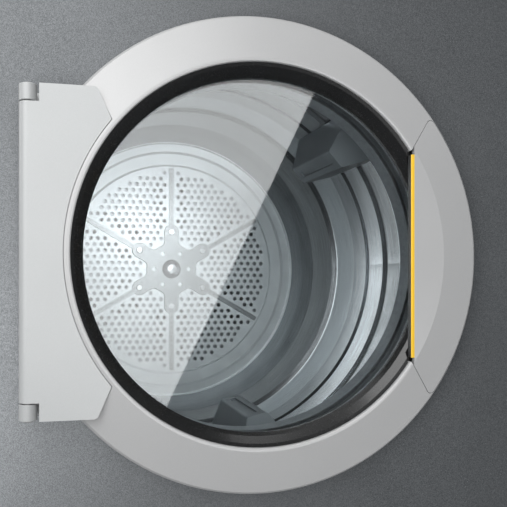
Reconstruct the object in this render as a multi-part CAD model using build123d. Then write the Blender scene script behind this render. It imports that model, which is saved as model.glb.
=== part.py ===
"""Front-loading tumble dryer: a steel cabinet, a round glazed door on a side hinge, and a belt-driven drum.

Millimetres. +Z is up, the door faces -Y, and the origin is at the middle of the footprint on the floor.
The door, the loading throat and the drum share one horizontal axis, which runs along Y.
"""

from build123d import *
from math import acos, atan2, cos, degrees, hypot, pi, radians, sin, sqrt
import os

os.makedirs("parts", exist_ok=True)

# ---------------------------------------------------------------- driving dimensions
cabinet_depth = 618.0  # front panel to back panel
drum_radius = 283.0  # inside, at the widest
space_below_drum = 170.0  # room for the motor, the blower and the ducts
space_above_drum = 165.0  # room for the controls and the worktop
space_beside_drum = 60.0  # from the drum wall to the outside of the cabinet
door_projection = 39.0  # how far the door stands out from the front panel
spigot_length = 43.0  # how far the exhaust stands out from the back panel
axis_x = -4.0  # the drum's and the door's common axis

cabinet_width = 2 * (drum_radius + space_beside_drum)
half_width = cabinet_width / 2
overall_depth = cabinet_depth + door_projection + spigot_length
front_panel_y = -overall_depth / 2 + door_projection  # outer face of the front panel
back_panel_y = overall_depth / 2 - spigot_length  # outer face of the back panel

# drum
drum_wall = 1.2
drum_front_y = front_panel_y + 40.0
drum_back_y = back_panel_y - 67.0
drum_length = drum_back_y - drum_front_y
bead_height = 4.5
drum_tail_radius = drum_radius - 21.0
perforated_radius = drum_tail_radius - 51.0
hole_radius = 4.2
hole_pitch = 14.4
spoke_count = 6
spoke_width = 9.0
spoke_height = 3.0
star_tip_radius = 92.0
star_valley_radius = 52.0
star_arm_width = 30.0
star_thickness = 3.0
star_bolt_radius = 3.5
shaft_radius = 14.0
lifter_count = 3
lifter_length = 189.0
lifter_base = 84.0
lifter_top = 30.0
lifter_height = 54.0
lifter_phase = 42.0  # degrees of the first lifter above +X
lifter_setback = 66.5
lifter_front_y = drum_front_y + lifter_setback
lifter_groove = 3.0

axis_z = drum_radius + space_below_drum
cabinet_height = axis_z + drum_radius + space_above_drum

# cabinet
sheet = 1.2
panel_fold = 14.0  # depth of the front panel's folded edges
panel_edge_radius = 3.0
seam = 1.0  # gap between neighbouring outer panels
fit_gap = 0.3  # gap between pieces that only lie beside each other
foot_height = 20.0
foot_inset = 46.0
foot_stud_radius = 5.0
foot_stud_top = 2.0  # how far the studs reach through the floor
foot_pad_radius = 20.0
foot_nut_radius = 9.0
foot_nut_height = 6.0
foot_seat = 13.0  # half the width of the pads that the studs screw into
base_rim = 22.0
floor_z = foot_height + base_rim
front_panel_below_drum = 42.0
front_panel_above_drum = 52.0
front_panel_low = axis_z - drum_radius - front_panel_below_drum
front_panel_high = axis_z + drum_radius + front_panel_above_drum
worktop_overhang = 4.0
worktop_rim = 32.0
worktop_wall = 3.0
worktop_skin = 6.0
side_fold = 8.0  # folded edges of the side panels
slot_rows = 5
slot_pitch = 14.0
slot_column = 105.0
slot_length = 60.0
slot_width = 5.0
slot_low = 250.0  # lowest row, above the drum's axis
fascia_high = cabinet_height - worktop_rim
side_front_y = front_panel_y + panel_fold + seam
side_inner_x = half_width - sheet
worktop_low = fascia_high + seam

# controls
fascia_proud = 2.0  # how far the fascia stands out from the front panel
fascia_wall = 3.0
fascia_y = front_panel_y - fascia_proud
control_z = (front_panel_high + fascia_high) / 2
knob_x = 60.0
knob_radius = 24.0
knob_stem_radius = 7.0
knob_height = 17.0
button_places = (130.0, 175.0)
button_radius = 11.0
display_width = 100.0
display_height = 38.0
display_x = -40.0

# door
door_radius = drum_radius - 11.0
door_lip_radius = door_radius - 56.0  # inner edge of the silver ring
door_face_y = front_panel_y - door_projection  # foremost face, at the inner lip
door_dome = 13.0  # how far the ring's outer edge lies behind its lip
door_back_y = front_panel_y - 6.0
ring_rim_y = door_face_y + door_dome
ring_wall = 3.0
ring_lip_depth = 7.0
lip_flat = 4.0  # width of the level part of the ring's face, beside the lip
cover_thickness = 5.0
hinge_cover_depth = 6.0
cover_seam = 0.7
cover_lap = 3.5  # how far the covers stay inside the ring's outer edge
cover_corner = 6.0
recess_floor = 2.5
handle_half_height = 123.0  # half of the straight edge of the handle cover
handle_outer_angle = 38.5  # degrees, where its seams reach the ring's outer edge
handle_chord = sqrt(door_lip_radius**2 - handle_half_height**2)
strip_width = 4.0
strip_hook = 7.0  # how far the lip behind the strip reaches to the right
strip_hook_thickness = 3.0
hinge_cover_half_height = 176.0
hinge_cover_arc = door_lip_radius + 7.5
hinge_cover_arc_z = 142.0  # where its sloping edges meet the arc beside the lip
hinge_cover_slope = 15.4  # how far those edges lean out to the left
glass_view_radius = door_lip_radius - 14.0
glass_radius = door_lip_radius + 1.5
glass_thickness = 5.0
glass_front_y = door_face_y + 20.0
bezel_radius = door_lip_radius + 5.0
pan_y = door_back_y - 3.2  # rear face of the door's inner pan
pan_sheet = 1.2
door_screw_count = 8
door_screw_circle = door_radius - 32.0
magnet_circle = door_radius - 17.0

# hinge
barrel_radius = 9.4
barrel_offset = door_radius - 12.6  # from the door's axis to the hinge axis
hinge_x = axis_x - barrel_offset
hinge_y = door_face_y + 0.5 + barrel_radius
hinge_z0 = axis_z - hinge_cover_half_height
hinge_z1 = axis_z + hinge_cover_half_height
knuckle_height = 17.7
knuckle_gap = 1.4
notch_height = knuckle_height + knuckle_gap
pin_radius = 4.0
pin_clearance = 0.05
bush_wall = 1.8
bush_height = 16.0
bracket_leaf = 3.0
bracket_screws = (18.0, 31.0)  # right of the hinge axis
hinge_room = 4.0  # free space between the barrel and the ring
rib_width = 4.0
rib_half_height = 76.0

# loading throat and bulkheads
throat_radius = door_lip_radius - 8.0
drum_mouth_radius = throat_radius + 5.0
bulkhead_y = front_panel_y + 22.0
throat_front_y = front_panel_y + 13.0
throat_back_y = front_panel_y + 35.0
bulkhead_top_z = axis_z + drum_radius + 8.0
bulkhead_fold = 12.0
rear_bulkhead_y = drum_back_y + 12.0
window_length = 110.0
window_width = 70.0
window_circle = 139.0
bearing_radius = 32.0
heater_depth = 40.0
heater_rod = 3.5
heater_rings = (105.0, 139.0, 173.0)
heater_strap = (84.0, 194.0)
heater_strap_half = 6.0
hood_radius = perforated_radius + 11.0

# support rollers
roller_radius = 26.0
roller_width = 16.0
roller_angle = 38.0  # degrees each side of straight down
roller_y = drum_front_y + 28.0
axle_radius = 5.0
boss_radius = 11.0

# drive
belt_y = drum_back_y - 100.0
belt_width = 9.0
belt_thickness = 2.5
belt_front_y = belt_y - belt_width / 2
belt_rear_y = belt_y + belt_width / 2
belt_drum_radius = drum_radius - bead_height + drum_wall + fit_gap
pulley_radius = 10.0
belt_pulley_radius = pulley_radius + fit_gap
motor_x = axis_x + 182.0
motor_z = floor_z + 56.0
motor_radius = 54.0
motor_length = 140.0
motor_y1 = belt_y - 28.0
motor_y0 = motor_y1 - motor_length
motor_shaft_radius = 6.0
idler_radius = 18.0
idler_share = 0.62  # place of the tension pulley along the belt's lower run
idler_pivot_dx, idler_pivot_dz = -52.0, -24.0
idler_stand_half = 12.0
idler_stand_plate = 3.0
idler_stand_foot = 26.0
idler_stand_gap = 6.0  # least space between the stand and the exhaust duct

# air
fan_y1 = motor_y0 - 16.0
fan_y0 = fan_y1 - 54.0
fan_radius = 46.0
fan_case_radius = 55.0
fan_mouth_radius = 34.0
duct_radius = 50.0
duct_wall = 1.0
spigot_radius = duct_radius - 0.6  # a hose slides over it
spigot_collar = 4.0
exhaust_x = -60.0
exhaust_z = floor_z + 50.0

# lint drawer
drawer_width = 170.0
drawer_x0 = motor_x - drawer_width / 2
drawer_x1 = motor_x + drawer_width / 2
drawer_z0, drawer_z1 = 48.0, 118.0
drawer_front = 8.0
drawer_wall = 2.0
duct_y0 = front_panel_y + panel_fold + 2.0
duct_y1 = fan_y0
drawer_depth = duct_y1 - front_panel_y - 63.0

# mains inlet
inlet_from_side = 82.5
inlet_below_top = 90.0
inlet_x = -half_width + inlet_from_side
inlet_z = cabinet_height - inlet_below_top
inlet_half_width = 26.0
inlet_half_height = 20.0
inlet_depth = 22.0
inlet_flange = 6.0


# ---------------------------------------------------------------- helpers
def box(x0, x1, y0, y1, z0, z1):
    """A box between two corners."""
    return Pos((x0 + x1) / 2, (y0 + y1) / 2, (z0 + z1) / 2) * Box(x1 - x0, y1 - y0, z1 - z0)


def rod_y(radius, y0, y1, x=axis_x, z=axis_z):
    """A cylinder along Y."""
    return Pos(x, (y0 + y1) / 2, z) * Rot(90, 0, 0) * Cylinder(radius, y1 - y0)


def rod_z(radius, z0, z1, x, y):
    """A cylinder along Z."""
    return Pos(x, y, (z0 + z1) / 2) * Cylinder(radius, z1 - z0)


def ring_y(outer, inner, y0, y1, x=axis_x, z=axis_z):
    """A round ring along Y."""
    return rod_y(outer, y0, y1, x, z) - rod_y(inner, y0 - 1, y1 + 1, x, z)


def turned(points, x=axis_x, z=axis_z):
    """Revolves an outline of (radius, y) points about a line along Y."""
    face = make_face(Polyline([(r, y) for r, y in points], close=True))
    return Pos(x, 0, z) * revolve(face, axis=Axis.Y)


def front_plane(y, x=axis_x, z=axis_z):
    """A plane facing -Y, whose own axes are the machine's X and Z."""
    return Plane(origin=(x, y, z), x_dir=(1, 0, 0), z_dir=(0, -1, 0))


def slab(sketch, y0, y1, x=axis_x, z=axis_z):
    """A sketch drawn in X and Z about (x, z), given depth from y0 to y1."""
    return extrude(front_plane(y1, x, z) * sketch, amount=y1 - y0)


def rounded_front(part, radius):
    """Rounds the edges of a part's foremost face."""
    return fillet(part.faces().sort_by(Axis.Y)[0].edges(), radius)


def tray_panel(y0, z0, z1, wall, radius):
    """A full-width front panel, open behind, with folded and rounded edges."""
    y1 = front_panel_y + panel_fold
    body = rounded_front(box(-half_width, half_width, y0, y1, z0, z1), radius)
    x = half_width - wall
    return body - box(-x, x, y0 + wall, y1 + 1, z0 + wall, z1 - wall)


def group(pieces):
    """Separate solids that share one node."""
    return Compound(children=list(pieces))


def on_circle(radius, angle, x=axis_x, z=axis_z):
    """(x, z) of a point at an angle in degrees above +X."""
    return x + radius * cos(radians(angle)), z + radius * sin(radians(angle))


# ---------------------------------------------------------------- cabinet
def foot_places():
    """Where the four feet stand."""
    x = half_width - foot_inset
    depths = (side_front_y + foot_inset, back_panel_y - foot_inset)
    return [(side * x, y) for side in (-1, 1) for y in depths]


def idler_stand():
    """Upright on the floor of the machine, with the pin that the idler arm swings on."""
    x, z = idler_pivot()
    half, thick, y0 = idler_stand_half, idler_stand_plate, belt_rear_y + 8
    plate = box(x - half, x + half, y0, y0 + thick, floor_z - sheet, z + half)
    foot = box(x - half, x + half, y0, y0 + idler_stand_foot, floor_z - sheet, floor_z + thick)
    return plate + foot + rod_y(axle_radius, belt_rear_y + 1.5, y0 + 1, x, z)


def base_tray():
    """Pressed floor of the machine with a folded rim, on four feet, with the idler's stand welded on."""
    x1 = side_inner_x
    y0, y1 = side_front_y + fit_gap, back_panel_y - sheet - fit_gap
    body = box(-x1, x1, y0, y1, foot_height, floor_z)
    body -= box(-x1 + sheet, x1 - sheet, y0 + sheet, y1 - sheet, foot_height - 1, floor_z - sheet)
    seat = foot_seat
    for x, y in foot_places():
        body += box(x - seat, x + seat, y - seat, y + seat, foot_height, floor_z - sheet)
        body -= rod_z(foot_stud_radius, foot_height - 1, floor_z + 1, x, y)
    return body + idler_stand()


def foot_pads():
    """Rubber foot pads that carry the machine."""
    pads = []
    for x, y in foot_places():
        pad = rod_z(foot_pad_radius, 0, foot_height - foot_nut_height, x, y)
        pad = fillet(pad.edges().sort_by(Axis.Z)[0], 2.0)
        pads.append(pad - rod_z(foot_stud_radius, foot_nut_height, foot_height, x, y))
    return group(pads)


def foot_studs():
    """Threaded studs with a lock nut, screwed into the base tray."""
    studs = []
    for x, y in foot_places():
        stud = rod_z(foot_stud_radius, foot_nut_height, floor_z + foot_stud_top, x, y)
        nut_plane = Plane.XY.offset(foot_height - foot_nut_height)
        nut = extrude(nut_plane * RegularPolygon(foot_nut_radius, 6), amount=foot_nut_height)
        studs.append(stud + Pos(x, y, 0) * nut)
    return group(studs)


def side_panel(side):
    """Flat side wall with a folded rear and top edge."""
    z0, z1 = foot_height - 2, fascia_high
    x_out, x_in, x_fold = side * half_width, side * side_inner_x, side * (half_width - side_fold)
    wall = box(min(x_out, x_in), max(x_out, x_in), side_front_y, back_panel_y, z0, z1)
    x0, x1 = min(x_out, x_fold), max(x_out, x_fold)
    rear = box(x0, x1, back_panel_y - sheet, back_panel_y, floor_z + seam, z1)
    top = box(x0, x1, side_front_y, back_panel_y, z1 - sheet, z1)
    return wall + rear + top


def back_panel():
    """Rear cover with the exhaust hole, the mains inlet's hole and four blocks of cooling slots."""
    x1 = half_width - side_fold - seam
    y0, y1 = back_panel_y - 5, back_panel_y + 5
    plate = box(-x1, x1, back_panel_y - sheet, back_panel_y, floor_z + seam, fascia_high - sheet - seam)
    plate -= rod_y(duct_radius + 2, y0, y1, exhaust_x, exhaust_z)
    w, h = inlet_half_width, inlet_half_height
    plate -= box(inlet_x - w, inlet_x + w, y0, y1, inlet_z - h, inlet_z + h)
    slots = Sketch()
    for x in (-2 * slot_column, -slot_column, slot_column, 2 * slot_column):
        for i in range(slot_rows):
            slots += Pos(x, slot_low + i * slot_pitch) * SlotOverall(slot_length, slot_width)
    return plate - slab(slots, y0, y1, 0, axis_z)


def worktop():
    """Lid with rounded front corners and a turned-down rim."""
    wall, y0, y1 = worktop_wall, front_panel_y - worktop_overhang, back_panel_y
    lid = box(-half_width, half_width, y0, y1, worktop_low, cabinet_height)
    lid = fillet(lid.edges().filter_by(Axis.Z).group_by(Axis.Y)[0], 8.0)
    lid = fillet(lid.faces().sort_by(Axis.Z)[-1].edges(), 2.5)
    x = half_width - wall
    return lid - box(-x, x, y0 + wall, y1 - wall, worktop_low - 1, cabinet_height - worktop_skin)


def front_panel():
    """Grey front sheet with folded edges and the round loading hole, its rim turned inwards."""
    y = front_panel_y
    r = throat_radius
    body = tray_panel(y, front_panel_low, front_panel_high, sheet, panel_edge_radius)
    body -= rod_y(r + 7, y - 1, y + panel_fold + 1)
    body += turned(
        [
            (r + 8, y), (r + 8, y + sheet), (r + 6, y + sheet + 0.4), (r + 4.4, y + 3),
            (r + 4.4, y + 12), (r + 3.2, y + 12), (r + 3.2, y + 2.4), (r + 5, y),
        ]
    )
    for x, z in bracket_screw_places():
        body -= rod_y(2.5, y - 1, y + 5, x, z)
    return body


def plinth_panel():
    """Lower front panel with the opening for the lint drawer."""
    body = tray_panel(front_panel_y, foot_height - 2, front_panel_low - seam, sheet, panel_edge_radius)
    return body - box(
        drawer_x0 - seam, drawer_x1 + seam, front_panel_y - 1, front_panel_y + panel_fold,
        drawer_z0 - seam, drawer_z1 + seam,
    )


def control_fascia():
    """Moulded control panel with openings for the display, the knob and two buttons."""
    y0, y1 = fascia_y - 1, fascia_y + fascia_wall + 1
    body = tray_panel(fascia_y, front_panel_high + seam, fascia_high, fascia_wall, 4.0)
    w, h = display_width / 2 + fit_gap, display_height / 2 + fit_gap
    body -= box(display_x - w, display_x + w, y0, y1, control_z - h, control_z + h)
    body -= rod_y(knob_stem_radius + 0.5, y0, y1, knob_x, control_z)
    for x in button_places:
        body -= rod_y(button_radius + 0.5, y0, y1, x, control_z)
    return body


def display_window():
    """Dark window over the display, with a flange that is bonded behind the fascia."""
    w, h, flange = display_width / 2, display_height / 2, 4.0
    y = fascia_y + fascia_wall
    pane = box(display_x - w, display_x + w, fascia_y - 0.4, y, control_z - h, control_z + h)
    pane = rounded_front(pane, 0.6)
    w, h = w + flange, h + flange
    return pane + box(display_x - w, display_x + w, y, y + 1.5, control_z - h, control_z + h)


def program_knob():
    """Programme knob with a pointer groove, finger flutes and a collar behind the fascia."""
    y, rear, top = fascia_y, fascia_y + fascia_wall + 0.4, fascia_y - knob_height
    r, stem = knob_radius, knob_stem_radius
    body = turned(
        [
            (0, top), (r - 4, top), (r - 2, top + 2), (r, y - 3), (r, y - 0.6), (stem, y - 0.6),
            (stem, rear), (stem + 2.5, rear), (stem + 2.5, rear + 2), (0, rear + 2),
        ],
        knob_x,
        control_z,
    )
    body -= box(knob_x - 1.2, knob_x + 1.2, y - 18, y - 16, control_z + 6, control_z + 21)
    flutes = 16
    for i in range(flutes):
        x, z = on_circle(knob_radius + 0.7, (i + 0.5) * 360 / flutes, knob_x, control_z)
        body -= rod_y(1.8, y - 14, y - 3.5, x, z)
    return body


def push_button(x):
    """Round push button with a slightly hollow face and a flange behind the fascia."""
    y, rear, r = fascia_y, fascia_y + fascia_wall + 0.2, button_radius
    return turned(
        [
            (0, y - 3.2), (r - 3, y - 3.8), (r - 1, y - 4.0), (r, y - 3.0), (r, rear),
            (r + 1.8, rear), (r + 1.8, rear + 1.8), (0, rear + 1.8),
        ],
        x,
        control_z,
    )


def mains_inlet():
    """Moulded mains inlet with three contacts, screwed into the back panel."""
    x, z, y, w, h = inlet_x, inlet_z, back_panel_y, inlet_half_width, inlet_half_height
    body = box(x - w, x + w, y - inlet_depth, y, z - h, z + h)
    w, h = w + inlet_flange, h + inlet_flange
    flange = box(x - w, x + w, y, y + 2.5, z - h, z + h)
    flange = fillet(flange.edges().filter_by(Axis.Y), 4.0)
    w, h = inlet_half_width - inlet_flange, inlet_half_height - inlet_flange
    body = body + flange - box(x - w, x + w, y - inlet_depth + 5, y + 5, z - h, z + h)
    for dx in (-9.0, 0.0, 9.0):
        body += box(x + dx - 1, x + dx + 1, y - 18, y - 4, z - 3, z + 3)
    return body


# ---------------------------------------------------------------- hinge
def bracket_screw_places():
    """(x, z) of the four screws that hold the hinge brackets."""
    half = knuckle_height / 2
    return [(hinge_x + dx, z) for z in (hinge_z0 + half, hinge_z1 - half) for dx in bracket_screws]


def hinge_bracket(z0):
    """Cast knuckle on a web, with a leaf behind the hinge cover that is screwed to the panel."""
    z1 = z0 + knuckle_height
    y1 = front_panel_y
    y0 = y1 - bracket_leaf
    knuckle = rod_z(barrel_radius, z0, z1, hinge_x, hinge_y)
    knuckle = fillet(knuckle.edges().filter_by(GeomType.CIRCLE), 0.8)
    web = box(hinge_x - 7, hinge_x + 7, hinge_y, y0, z0 + 1, z1 - 1)
    leaf = box(hinge_x - 9, hinge_x + bracket_screws[1] + 8, y0, y1, z0, z1)
    leaf = fillet(leaf.edges().filter_by(Axis.Y), 2.5)
    body = knuckle + web + leaf - rod_z(pin_radius, z0 - 1, z1 + 1, hinge_x, hinge_y)
    for x, z in bracket_screw_places():
        if z0 < z < z1:
            body -= rod_y(2.5, y0 - 1, y1 + 1, x, z)
    return body


def hinge_pins():
    """Two steel pins, pressed into the brackets and turning in the door's bushes."""
    reach = notch_height + bush_height - 1
    upper = rod_z(pin_radius, hinge_z1 - reach, hinge_z1 - 1.5, hinge_x, hinge_y)
    lower = rod_z(pin_radius, hinge_z0 + 1.5, hinge_z0 + reach, hinge_x, hinge_y)
    return group([upper, lower])


def hinge_bushes():
    """Two nylon bushes in the ends of the door's barrel."""
    bore = pin_radius + pin_clearance
    bushes = []
    for z0 in (hinge_z0 + notch_height, hinge_z1 - notch_height - bush_height):
        bush = rod_z(bore + bush_wall, z0, z0 + bush_height, hinge_x, hinge_y)
        bushes.append(bush - rod_z(bore, z0 - 1, z0 + bush_height + 1, hinge_x, hinge_y))
    return group(bushes)


def hinge_screws():
    """Four pan-head screws that hold the brackets to the front panel."""
    y = front_panel_y - bracket_leaf
    screws = []
    for x, z in bracket_screw_places():
        head = rounded_front(rod_y(4.4, y - 2.2, y, x, z), 1.2)
        screws.append(head + rod_y(2.5, y, front_panel_y + 8, x, z))
    return group(screws)


# ---------------------------------------------------------------- door
def face_y(radius):
    """Depth of the ring's front face at a radius: level near the lip, then sloping back to the rim."""
    flat = door_lip_radius + lip_flat
    slope = door_dome / (door_radius - flat)
    return door_face_y + max(0.0, radius - flat) * slope


def domed(offset_y, depth):
    """A domed plate that follows the ring's face, offset_y behind it and depth thick."""
    r0, r1, r2 = door_lip_radius - 60, door_lip_radius + lip_flat, door_radius
    y1, y2 = door_face_y + offset_y, ring_rim_y + offset_y
    return turned([(r0, y1), (r1, y1), (r2, y2), (r2, y2 + depth), (r1, y1 + depth), (r0, y1 + depth)])


def handle_outline(grow=0.0):
    """Outline of the handle cover, grown all round by grow."""
    rim = door_radius - cover_lap
    a = radians(handle_outer_angle)
    x, h = handle_chord, handle_half_height
    top_out, low_out = (rim * cos(a), rim * sin(a)), (rim * cos(a), -rim * sin(a))
    face = make_face(
        [
            Line((x, -h), low_out),
            ThreePointArc(low_out, (rim, 0), top_out),
            Line(top_out, (x, h)),
            Line((x, h), (x, -h)),
        ]
    )
    face = fillet([v for v in face.vertices() if v.X > x + 1], cover_corner)
    return offset(face, grow, kind=Kind.INTERSECTION) if grow else face


def hinge_outline(grow=0.0):
    """Outline of the flat part of the hinge cover, right of the barrel, grown all round by grow."""
    h, arc, z = hinge_cover_half_height, hinge_cover_arc, hinge_cover_arc_z
    left, arc_x = -barrel_offset, -sqrt(arc**2 - z**2)
    top_x = arc_x - hinge_cover_slope
    face = make_face(
        [
            Line((left, -h), (top_x, -h)),
            Line((top_x, -h), (arc_x, -z)),
            ThreePointArc((arc_x, -z), (-arc, 0), (arc_x, z)),
            Line((arc_x, z), (top_x, h)),
            Line((top_x, h), (left, h)),
            Line((left, h), (left, -h)),
        ]
    )
    face = fillet([v for v in face.vertices() if abs(v.X - top_x) < 0.1], cover_corner)
    return offset(face, grow, kind=Kind.INTERSECTION) if grow else face


def hinge_clearance(y0, y1):
    """Space that the ring and the pan leave free round the hinge barrel."""
    x = hinge_x + barrel_radius + hinge_room
    return box(axis_x - door_radius - 20, x, y0, y1, hinge_z0 - cover_seam, hinge_z1 + cover_seam)


def ring_solid():
    """The silver ring before it is hollowed: a domed face between the lip and the rounded rim."""
    r, lip, y0, y1 = door_radius, door_lip_radius, door_face_y, door_back_y
    edge, inner = r - 3.2, bezel_radius + fit_gap
    return turned(
        [
            (r - 1.2, y1), (r, y1 - 1.2), (r, ring_rim_y + 4), (r - 0.9, ring_rim_y + 1.4),
            (edge, face_y(edge)), (lip + lip_flat, y0), (lip + 1.6, y0), (lip + 0.4, y0 + 0.6),
            (lip, y0 + 2), (lip, y0 + ring_lip_depth), (inner, y0 + ring_lip_depth), (inner, y1),
        ]
    )


def ring_cavity():
    """The hollow behind the ring's face, less the ledges that carry the two covers."""
    r, lip, t, y0, y1 = door_radius, door_lip_radius, ring_wall, door_face_y, door_back_y
    inner, rear = bezel_radius + fit_gap / 2, y0 + ring_lip_depth + 0.1
    cavity = turned(
        [
            (lip + t, y0 + t + 0.6), (lip + lip_flat + 1, y0 + t), (r - t - 2, face_y(r - 3.2) + t),
            (r - t, ring_rim_y + 5.5), (r - t, y1 + 1), (inner, y1 + 1), (inner, rear), (lip + t, rear),
        ]
    )
    ledge = cover_seam + 2.5
    cavity -= domed(-8.0, 8 + cover_thickness + recess_floor) & slab(handle_outline(ledge), y0 - 12, y1)
    return cavity - slab(hinge_outline(ledge), y0 - 5, y0 + 0.5 + hinge_cover_depth + recess_floor)


def door_ring():
    """Domed silver ring: a moulded shell with a recess for each of the two covers."""
    y0, y1 = door_face_y, door_back_y
    handle_area = slab(handle_outline(cover_seam), y0 - 12, y1)
    body = ring_solid() - ring_cavity()
    body -= domed(-8.0, 8 + cover_thickness) & handle_area
    body -= handle_area & rod_y(bezel_radius + 1, y0 - 5, y0 + ring_lip_depth + 2)
    body -= slab(hinge_outline(cover_seam), y0 - 5, y0 + 0.5 + hinge_cover_depth)
    x, half = hinge_x + barrel_radius + hinge_room, rib_half_height + 1
    body -= box(x - 20, x + rib_width + fit_gap, y0 - 5, y1 + 1, axis_z - half, axis_z + half)
    return body - hinge_clearance(y0 - 5, y1 + 1)


def handle_plate():
    """Silver handle cover that follows the ring's dome and bridges to a straight edge over the glass."""
    body = domed(0.0, cover_thickness) & slab(handle_outline(), door_face_y - 5, door_back_y)
    x, y = axis_x + handle_chord, door_face_y + cover_thickness
    body -= box(x - 1, x + strip_width, door_face_y - 1, door_back_y, 0, cabinet_height)
    half = strip_half_height() + fit_gap
    return body - box(x, x + strip_hook + fit_gap, y, door_back_y, axis_z - half, axis_z + half)


def strip_half_height():
    """Half the height of the grip strip, which stops short of the handle's corners."""
    return handle_half_height - 4


def handle_strip():
    """Yellow grip strip along the straight edge of the handle, with a lip that the fingers pull on."""
    x, h = axis_x + handle_chord, strip_half_height()
    y0, y1 = door_face_y, door_face_y + cover_thickness
    front = box(x, x + strip_width, y0, y1, axis_z - h, axis_z + h)
    hook = box(x, x + strip_hook, y1, y1 + strip_hook_thickness, axis_z - h, axis_z + h)
    body = front + hook
    return fillet(body.edges().filter_by(Axis.Z).group_by(Axis.X)[0], 1.2)


def door_bezel():
    """Black bowl between the silver ring and the glass, relieved behind the handle cover."""
    lip, view, y, glass = door_lip_radius, glass_view_radius, door_face_y, glass_front_y
    rim, lip_y, rear, seat = lip - fit_gap, y + ring_lip_depth, pan_y - pan_sheet, glass_radius + 0.5
    body = turned(
        [
            (rim, y + 4), (rim, lip_y), (bezel_radius, lip_y), (bezel_radius, rear), (seat, rear),
            (seat, glass), (view, glass), (view, glass - 2.5), (view + 3, glass - 8), (lip - 4, y + 5),
        ]
    )
    return body - slab(handle_outline(cover_seam + 2), y - 5, y + cover_thickness + 3.5)


def door_glass():
    """Flat safety glass with a ground edge."""
    r, y0, y1 = glass_radius, glass_front_y, glass_front_y + glass_thickness
    return turned([(0, y0), (r - 0.8, y0), (r, y0 + 0.8), (r, y1 - 0.8), (r - 0.8, y1), (0, y1)])


def glass_gasket():
    """Rubber ring between the glass and the inner pan."""
    y0, y1 = glass_front_y + glass_thickness, pan_y - pan_sheet
    r = glass_radius
    return turned([(r - 12, y0), (r, y0), (r, y1), (r - 10, y1)])


def door_screw_places():
    """(x, z) of the screws round the door's inner pan."""
    step = 360 / door_screw_count
    return [on_circle(door_screw_circle, (i + 0.5) * step) for i in range(door_screw_count)]


def door_pan():
    """Pressed steel pan that closes the back of the door and clamps the glass."""
    inner, outer = glass_radius - 11, door_radius - ring_wall
    y = pan_y
    body = turned(
        [
            (inner, y - pan_sheet), (outer, y - pan_sheet), (outer, y), (inner + 5, y),
            (inner + 3.5, y + 2.4), (inner + 1, y + 2.8), (inner, y + 2),
        ]
    )
    body -= hinge_clearance(y - 10, y + 10)
    for x, z in door_screw_places():
        body -= rod_y(2.0, y - 8, y + 1, x, z)
    return body


def door_screws():
    """Screws round the inner pan that clamp it to the ring's recess floors and bosses."""
    y = pan_y
    screws = []
    for x, z in door_screw_places():
        head = rod_y(4.0, y, y + 2, x, z)
        head = fillet(head.edges().sort_by(Axis.Y)[-1], 1.0)
        screws.append(head + rod_y(2.0, y - 7, y, x, z))
    return group(screws)


def door_seal():
    """Rubber lip on the back of the door that closes against the front panel."""
    y, r, tip = pan_y, throat_radius + 17, front_panel_y - fit_gap
    return turned(
        [
            (r - 5, y), (r + 5, y), (r + 5, y + 2.5), (r + 2, tip - 1.2), (r, tip),
            (r - 2, tip - 1.2), (r - 5, y + 2.5),
        ]
    )


def hinge_plate():
    """Silver hinge cover: a flat cast plate whose left edge rolls into the door's hinge barrel."""
    y0, depth = door_face_y + 0.5, hinge_cover_depth
    z0, z1 = hinge_z0 + notch_height, hinge_z1 - notch_height
    barrel = rod_z(barrel_radius, z0, z1, hinge_x, hinge_y)
    web_x = hinge_x + barrel_radius + hinge_room
    web = box(hinge_x, web_x, y0 + 1, hinge_y + barrel_radius - 1, z0, z1)
    body = slab(hinge_outline(), y0, y0 + depth) + barrel + web
    for low, high in ((hinge_z0 - 1, z0), (z1, hinge_z1 + 1)):
        body -= box(hinge_x - 20, hinge_x + barrel_radius + 2.4, y0 - 5, hinge_y + 20, low, high)
    bush = pin_radius + pin_clearance + bush_wall
    body -= rod_z(bush, hinge_z0, z0 + bush_height, hinge_x, hinge_y)
    body -= rod_z(bush, z1 - bush_height, hinge_z1, hinge_x, hinge_y)
    z0, z1 = axis_z - rib_half_height, axis_z + rib_half_height
    return body + box(web_x, web_x + rib_width, y0 + depth, pan_y - pan_sheet, z0, z1)


def door_magnet():
    """Magnet in its holder on the free side of the door pan."""
    x, z = on_circle(magnet_circle, 0)
    return box(x - 6, x + 6, pan_y, pan_y + 2.2, z - 30, z + 30)


def catch_plate():
    """Steel keeper on the front panel, opposite the magnet."""
    x, z = on_circle(magnet_circle, 0)
    plate = box(x - 7, x + 7, front_panel_y - 1.5, front_panel_y, z - 34, z + 34)
    return fillet(plate.edges().filter_by(Axis.Y), 3.0)


# ---------------------------------------------------------------- throat, rollers and bulkheads
def roller_places():
    """(x, z) of the two roller axles, under the front of the drum."""
    reach = drum_radius + drum_wall + fit_gap + roller_radius
    return [on_circle(reach, -90 + side * roller_angle) for side in (-1, 1)]


def bulkhead(y0):
    """Flat inner wall between the side panels, with folded side edges, standing on the floor."""
    x = side_inner_x
    body = box(-x, x, y0, y0 + sheet, floor_z, bulkhead_top_z)
    for x0, x1 in ((-x, -x + sheet), (x - sheet, x)):
        body += box(x0, x1, y0, y0 + bulkhead_fold, floor_z, bulkhead_top_z)
    return body


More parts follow.
